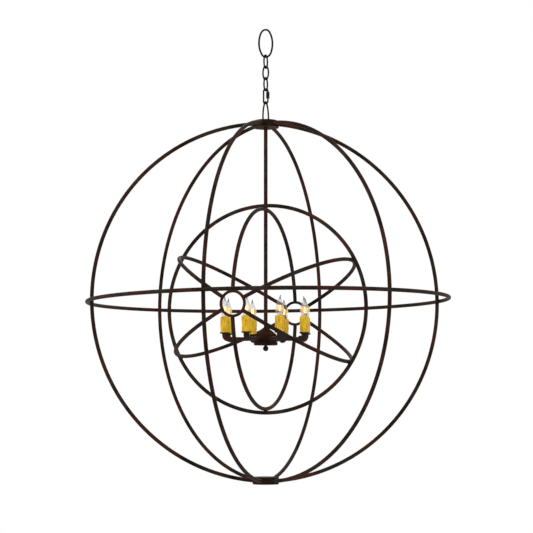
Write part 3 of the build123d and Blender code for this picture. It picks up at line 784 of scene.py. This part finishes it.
# %% [markdown]
# ## Welds
# Where two bars cross they touch at a point, and a welder runs a short bead round it that fills the
# corners. The bead is a flattened lump, wider than it is deep, with an uneven skin. The coat covers it
# like the rest.

# %% Weld beads
BEAD_WIDTH = 13.0 * MM
BEAD_DEPTH = 6.5 * MM
LUMP_SIZE = 3.5 * MM
LUMP_SHARE = 0.14
SEAM_WIDTH_OF_WIRE = 1.12
SEAM_DEPTH_OF_WIRE = 1.1


def weld_bead(name, place, normal, width=BEAD_WIDTH, depth=BEAD_DEPTH, body="orb"):
    """Flattened, uneven lump of weld round the point where two bars touch."""
    place = Vector(place)

    def lumpy(turn, radius, height):
        point = Vector((radius * cos(turn), radius * sin(turn), height * depth / width))
        rough = noise.noise((place + point) / LUMP_SIZE)
        return point * (1 + LUMP_SHARE * rough)

    bead = turned(name, place, round_section(width / 2, steps=12), 20, normal, lumpy, sharp_degrees=180)
    settle(bead, body, frame_coat, "frame_iron")


for number, angle in enumerate(RIB_ANGLES, 1):
    out = direction(angle)
    touch = out * (rib_reach[number] + BAR / 2 + WELD_GAP / 2)
    rise = tan(EQUATOR_LEAN) * (touch - shift).dot(toward)
    weld_bead(f"equator_weld_{number}", touch + UP * (orb_z + rise), out)
for node, angle in whole_ribs.items():
    out = band_direction(angle)
    weld_bead(f"{node}_band_weld", inner_centre + out * (inner_rib_radius + BAR / 2), out)
for height, name in ((BAND_RADIUS, "band"), (inner_rib_radius, "top_rib")):
    weld_bead(f"rod_{name}_weld", UP * (inner_z + height), UP, width=17 * MM, depth=12 * MM)
for pole, centre in pole_centres.items():
    for angle in (*SIDE_RIBS, 90, 270):
        place = centre + band_direction(angle) * (POLE_RING_OUTER + 0.5 * MM)
        weld_bead(f"pole_{pole}_weld_{round(angle)}", place, TO_THE_BACK, width=12 * MM, depth=10 * MM)
seams = (("ring", "oval_ring", -ring_across, OVAL_HALF[0], RING_WIRE),
         ("link_1", "chain_link_1", in_bail_plane, LINK_HALF[0], WIRE),
         ("link_2", "chain_link_2", in_ring_plane, LINK_HALF[0], WIRE),
         ("link_3", "chain_link_3", -in_bail_plane, LINK_HALF[0], WIRE))
for body, node, across, reach, wire in seams:
    weld_bead(f"{body}_seam", UP * middle_z(node) + across * reach, UP, width=wire * SEAM_WIDTH_OF_WIRE,
              depth=wire * SEAM_DEPTH_OF_WIRE, body=body)
print("welds on the equator", len(RIB_ANGLES), "and the band", len(whole_ribs), "seams on ring and links",
      len(seams))

# %% [markdown]
# ## Elbows and finial
# The arms end in cast elbows, which are plump and round, with a rolled lip where the arm goes in. The
# finial is a small turned ball on a neck that closes the stack of parts under the hub.

# %% Elbows and finial
ELBOW = 19.0 * MM
ELBOW_BEND = 11.0 * MM
ELBOW_SOCKET = 7.0 * MM
LIP_WIRE = 3.0 * MM
BALL_RADIUS = 9.2 * MM
NECK_RADIUS = 5.0 * MM
STUD_RADIUS = 4.65 * MM
BALL_STEPS = 24

arm_z = middle_z("arm_1")
dish_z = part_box("drip_dishes")[0].z
lamp_places = {}
for number in LAMPS:
    low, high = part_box(f"bulb_cap_{number}")
    lamp_places[number] = Vector(((low.x + high.x) / 2, (low.y + high.y) / 2, 0))
for number, place in lamp_places.items():
    out = place.normalized()
    stretches = [run((-ELBOW_BEND - ELBOW_SOCKET, 0), (-ELBOW_BEND, 0)),
                 arc((-ELBOW_BEND, ELBOW_BEND), ELBOW_BEND, -90, 90),
                 run((0, ELBOW_BEND), (0, dish_z - arm_z))]
    elbow = bent_bar(f"elbow_{number}", place + UP * arm_z, out, UP, stretches, ELBOW)
    settle(elbow, "orb", frame_coat, "frame_iron", "arm_elbows")
    mouth = place + UP * arm_z - out * (ELBOW_BEND + ELBOW_SOCKET)
    lip = turned(f"elbow_lip_{number}", mouth, round_section(LIP_WIRE / 2, ELBOW / 2 - LIP_WIRE / 2), 32, out,
                 closed=True)
    settle(lip, "orb", frame_coat, "frame_iron")

low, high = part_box("finial")
plate_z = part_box("hub_plate")[0].z
neck_turn = asin(NECK_RADIUS / BALL_RADIUS)
turns = [step * (pi - neck_turn) / BALL_STEPS for step in range(1, BALL_STEPS + 1)]
ball = [(BALL_RADIUS * sin(t), -BALL_RADIUS * cos(t)) for t in turns]
ball_z = low.z + BALL_RADIUS
finial_profile = [(0.0, -BALL_RADIUS), *ball, (NECK_RADIUS, plate_z - ball_z),
                  (STUD_RADIUS, plate_z - ball_z), (STUD_RADIUS, high.z - ball_z), (0.0, high.z - ball_z)]
finial = turned("finial_ball", UP * ball_z, finial_profile, 48)
settle(finial, "orb", frame_coat, "frame_iron", "finial")
print("lamps at radius", round(lamp_places[1].length / MM, 1), "mm, finial ball at", round(ball_z, 4))

# %% [markdown]
# ## Candle covers
# Each cover is a resin tube cast with runs of wax down its side. The tube is turned, and its outer wall
# is then pushed out where a run passes. A run is a narrow ridge that starts at the rim, wanders a little,
# and ends in a round drop. The thickness is kept as an attribute, so that the finish can be darker where
# the wax is thick.

# %% Candle covers with wax runs
COVER_RADIUS = 14.9 * MM
COVER_BORE = 13.5 * MM
RUN_COUNT = 11
RUN_DEPTH = 1.3 * MM
COVER_ROWS = 54
COVER_SIDES = 96
RUN_LENGTHS = (12, 47)
SWAY_LENGTH = 9 * MM
DROP_ABOVE_END = 3 * MM
DROP_HALF_HEIGHT = 3.2 * MM
RUN_TAPER = 2.2 * MM
SKIN_WAVE = 0.12 * MM
RIM_WAVE = 0.5 * MM
drips = random.Random(21)
cover_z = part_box("candle_covers")[0].z
cover_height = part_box("candle_covers")[1].z - cover_z


def wax_runs():
    """Random runs: angle, half width as an angle, length, sway and depth of each."""
    runs = []
    for number in range(RUN_COUNT):
        runs.append(((number + drips.uniform(-0.35, 0.35)) * 2 * pi / RUN_COUNT, drips.uniform(0.09, 0.17),
                     drips.uniform(*RUN_LENGTHS) * MM, drips.uniform(-0.08, 0.08), drips.uniform(0.6, 1.0)))
    return runs


def run_height(runs, turn, down):
    """How far the wax stands out at an angle and a distance below the rim, from 0 to 1."""
    most = 0.0
    for angle, half, length, sway, depth in runs:
        middle = angle + sway * sin(down / SWAY_LENGTH)
        aside = (turn - middle + pi) % (2 * pi) - pi
        drop = max(0.0, 1 - ((down - length + DROP_ABOVE_END) / DROP_HALF_HEIGHT) ** 2)
        width = half * (1 + 0.45 * drop)
        end = min(1.0, max(0.0, (length - down) / RUN_TAPER))
        ridge = max(0.0, 1 - (aside / width) ** 2)
        most = max(most, depth * ridge * sqrt(end) * (0.72 + 0.28 * drop))
    return most


for number, place in lamp_places.items():
    runs = wax_runs()
    outer = [(COVER_RADIUS, cover_height * row / COVER_ROWS) for row in range(COVER_ROWS)]
    wall = COVER_RADIUS - COVER_BORE
    rim = [((COVER_RADIUS + COVER_BORE) / 2 + wall / 2 * cos(t), cover_height - wall / 2 + wall / 2 * sin(t))
           for t in [pi * step / 6 for step in range(7)]]
    inner = [(COVER_BORE, cover_height * share) for share in (0.8, 0.4, 0.0)]

    def waxed(turn, radius, height):
        thick = run_height(runs, turn, cover_height - height)
        spot = Vector((cos(turn) * 4, sin(turn) * 4, height / (5 * MM) + number * 10))
        skin = SKIN_WAVE * noise.noise(spot)
        grown = radius + (RUN_DEPTH * thick + skin if radius > COVER_BORE + 0.3 * wall else 0)
        rim_wave = RIM_WAVE * noise.noise(Vector((cos(turn) * 1.5, sin(turn) * 1.5, number * 3.7)))
        return Vector((grown * cos(turn), grown * sin(turn), height + rim_wave * height / cover_height))

    cover = turned(f"candle_cover_{number}", place + UP * cover_z, outer + rim + inner, COVER_SIDES,
                   shape=waxed, closed=True, sharp_degrees=70)
    thickness = cover.data.attributes.new("wax", "FLOAT", "POINT")
    local = [vertex.co - place for vertex in cover.data.vertices]
    thickness.data.foreach_set("value", [run_height(runs, atan2(v.y, v.x), cover_z + cover_height - v.z)
                                         for v in local])
    settle(cover, "orb", wax, "candle_cover", "candle_covers")
print("covers", len(lamp_places), "of", round(cover_height / MM, 1), "mm")

# %% [markdown]
# ## Bulbs
# A candle bulb is blown from a tube: it swells from its brass base to a belly and is drawn out to a bent
# tip, which is solid glass. The wall is so thin that one turned skin stands for it, and its finish makes
# it clear. Inside stand a pressed stem, two lead wires and the hot filament.

# %% Glass, base and stem
FOOT_RADIUS = 5.9 * MM
NECK_GLASS = 7.5 * MM
BELLY_GLASS = 13.8 * MM
TIP_GLASS = 1.3 * MM
TIP_BEND = 3.0 * MM
LOWER_STEPS = 12
UPPER_STEPS = 20
THREAD_PITCH = 2.0 * MM
THREAD_DEPTH = 0.45 * MM
SHELL_RADIUS = 5.5 * MM
SHELL_STEPS = 48
THREAD_FROM_RADIUS = 5.4 * MM
CONTACT_HEIGHT = 5.0 * MM
STEM_BELOW_BELLY = 13.0 * MM
tips = random.Random(5)
belly = cover_z + cover_height + BELLY_ABOVE_COVER
stem_top = belly - STEM_BELOW_BELLY


def flame_profile(foot, belly, top):
    """Radius and height up the glass."""
    rows = []
    for step in range(LOWER_STEPS):
        share = step / LOWER_STEPS
        radius = NECK_GLASS + (BELLY_GLASS - NECK_GLASS) * sin(share * pi / 2)
        rows.append((radius, foot + share * (belly - foot)))
    for step in range(UPPER_STEPS):
        share = step / UPPER_STEPS
        radius = TIP_GLASS + (BELLY_GLASS - TIP_GLASS) * (1 + cos(pi * share)) / 2
        rows.append((radius, belly + share * (top - belly)))
    return rows


for number, place in lamp_places.items():
    body = f"lamp_bulb_{number}"
    foot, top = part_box(f"bulb_{number}")[0].z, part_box(f"bulb_{number}")[1].z
    lean_way = direction(tips.uniform(0, 360))

    def bent_tip(turn, radius, height):
        share = max(0.0, (height - belly) / (top - belly))
        return Vector((radius * cos(turn), radius * sin(turn), height)) + lean_way * TIP_BEND * share**3

    skin = [(0.0, foot), (FOOT_RADIUS, foot), *flame_profile(foot + 1.5 * MM, belly, top), (0.0, top)]
    glass_bulb = turned(f"bulb_glass_{number}", place, skin, 48, shape=bent_tip, sharp_degrees=60)
    settle(glass_bulb, body, glass, "bulb_glass", f"bulb_{number}")

    base_low, base_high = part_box(f"bulb_cap_{number}")

    def threaded(turn, radius, height):
        wave = THREAD_DEPTH * cos(2 * pi * height / THREAD_PITCH - turn) if radius > THREAD_FROM_RADIUS else 0
        return Vector(((radius + wave) * cos(turn), (radius + wave) * sin(turn), height))

    shell_low = base_low.z + CONTACT_HEIGHT
    shell = [(SHELL_RADIUS, shell_low + (base_high.z - shell_low) * step / SHELL_STEPS)
             for step in range(SHELL_STEPS + 1)]
    base = turned(f"bulb_base_{number}", place,
                  [(3.2 * MM, shell_low - 0.6 * MM), *shell, (4.9 * MM, base_high.z)], 40, shape=threaded,
                  closed=True)
    settle(base, body, brass, "bulb_base", f"bulb_cap_{number}")
    tip = turned(f"bulb_contact_{number}", place,
                 [(0.0, base_low.z), (1.4 * MM, base_low.z + 0.3 * MM), (2.2 * MM, base_low.z + 1.4 * MM),
                  (4.6 * MM, shell_low), (0.0, shell_low)], 24, sharp_degrees=30)
    settle(tip, body, phenolic, "bulb_base")

    stem = turned(f"bulb_stem_{number}", place,
                  [(0.0, foot), (5.0 * MM, foot), (2.6 * MM, foot + 5 * MM), (1.9 * MM, stem_top - 2 * MM),
                   (1.2 * MM, stem_top), (0.0, stem_top + 0.4 * MM)], 24, sharp_degrees=50)
    settle(stem, body, stem_glass, "bulb_glass")
print("glass, base and stem for", len(lamp_places), "bulbs")

# %% [markdown]
# ### Filament
# The filament hangs between the two lead wires as a soft zigzag. Real tungsten wire is finer than a hair
# and would vanish at this distance, so it is drawn as thick as it needs to be to show as a glow.

# %% Filament and leads
FILAMENT_WIRE = 1.2 * MM
LEAD_WIRE = 0.7 * MM
FILAMENT_HALF = 4.6 * MM
FILAMENT_RISE = 9.0 * MM
FILAMENT_DEPTH = 1.8 * MM
LOWER_BEND_ABOVE_ENDS = 2 * MM
BEND_DROP = 1.5 * MM
BEND_ASIDE = 0.6 * MM
ZIGZAGS = 3
low_z, high_z = belly - FILAMENT_RISE, belly + FILAMENT_RISE


def bent_wire(name, points, diameter):
    """Thin wire on a smooth curve that follows points."""
    curve = bpy.data.curves.new(name, "CURVE")
    curve.dimensions = "3D"
    curve.bevel_depth = diameter / 2
    curve.bevel_resolution = 2
    spline = curve.splines.new("NURBS")
    spline.points.add(len(points) - 1)
    for knot, point in zip(spline.points, points):
        knot.co = (*point, 1.0)
    spline.order_u = 3
    spline.use_endpoint_u = True
    wire = bpy.data.objects.new(name, curve)
    bpy.context.collection.objects.link(wire)
    return wire


for number, place in lamp_places.items():
    body = f"lamp_bulb_{number}"
    aside = direction(tips.uniform(0, 180))
    crossways = UP.cross(aside)
    for side, name in ((-1, "left"), (1, "right")):
        lead = bent_wire(f"bulb_lead_{name}_{number}",
                         [place + UP * (stem_top - 3 * MM) + aside * side * 0.6 * MM,
                          place + UP * (stem_top + 1.5 * MM) + aside * side * 1.2 * MM,
                          place + UP * low_z + aside * side * FILAMENT_HALF], LEAD_WIRE)
        settle(lead, body, zinc, "bulb_base")
    knots = [place + UP * low_z - aside * FILAMENT_HALF]
    for zigzag in range(ZIGZAGS * 2 - 1):
        share = (zigzag + 0.5) / (ZIGZAGS * 2 - 1) * 2 - 1
        across = aside * share * FILAMENT_HALF + crossways * FILAMENT_DEPTH * (1 if zigzag % 2 else -1)
        level = high_z if zigzag % 2 == 0 else low_z + LOWER_BEND_ABOVE_ENDS
        knots += [place + UP * (level - BEND_DROP) + across - aside * BEND_ASIDE,
                  place + UP * level + across,
                  place + UP * (level - BEND_DROP) + across + aside * BEND_ASIDE]
    knots.append(place + UP * low_z + aside * FILAMENT_HALF)
    filament = bent_wire(f"bulb_filament_{number}", knots, FILAMENT_WIRE)
    settle(filament, body, tungsten, "bulb_glass")
print("filaments", len(lamp_places))

# %% [markdown]
# ## The CAD model's size
# The looks must not change the object's size, so the CAD model's box is printed.

# %% The CAD model's box
print("CAD box", [[round(value, 4) for value in corner] for corner in cad_box])
